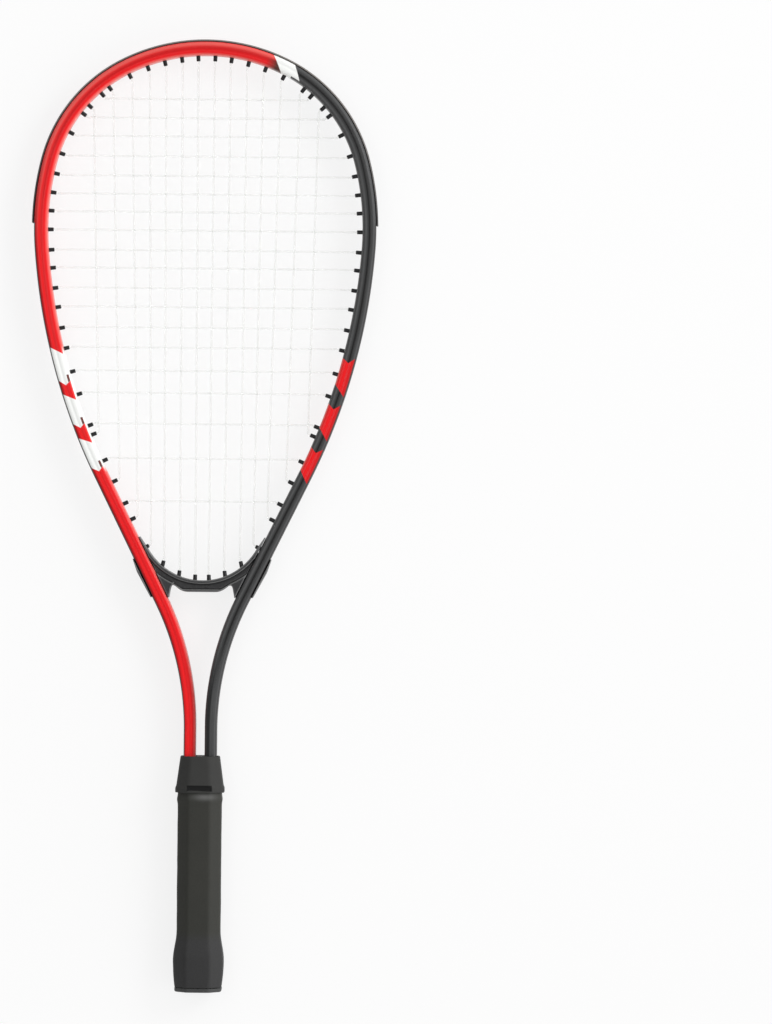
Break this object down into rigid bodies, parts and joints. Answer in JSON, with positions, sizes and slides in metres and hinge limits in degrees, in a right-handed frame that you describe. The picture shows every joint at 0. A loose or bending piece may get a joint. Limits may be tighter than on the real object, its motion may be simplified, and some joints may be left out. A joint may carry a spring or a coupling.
{
  "type": "crossminton racket",
  "caption": "Strung crossminton racket with a long oval head, open throat with a moulded bridge, and an octagonal sleeved grip.",
  "frame": {"origin": "centre of the bounding box at its bottom: on the long middle line, half way from butt to head, level with the lowest point of the butt's back", "axes": "+X across the head, to the right as seen from the front; +Y along the racket from the butt to the crown; +Z out of the front face, up when it lies on its back"},
  "size_m": [0.2182, 0.6, 0.028],
  "materials": {
    "frame_paint": "gloss red and black enamel on aluminium, with white bands and red arrow stripes",
    "moulded_black": "black moulded nylon, semi-gloss",
    "string": "clear to white nylon monofilament",
    "collar_rubber": "black moulded rubber, matt",
    "grip_skin": "dark grey polyurethane grip sleeve with a fine grain, matt",
    "handle_plastic": "grey moulded plastic, hidden inside the grip",
    "steel": "plain steel fasteners"
  },
  "bodies": {
    "root": {"frame_tube": "frame_paint", "throat_bridge": "moulded_black", "head_bumper_strip": "moulded_black", "left_grommet_strip": "moulded_black", "right_grommet_strip": "moulded_black", "bridge_grommet_strip": "moulded_black", "main_string": "string", "cross_string": "string", "grip_collar": "collar_rubber", "grip_wrap": "grip_skin", "handle_shell_front": "handle_plastic", "handle_shell_back": "handle_plastic", "leg_pin_upper": "steel", "leg_pin_lower": "steel", "handle_screw_upper": "steel", "handle_screw_middle": "steel", "handle_screw_lower": "steel", "butt_cap": "collar_rubber", "butt_tack_left": "steel", "butt_tack_right": "steel"}
  },
  "joints": []
}
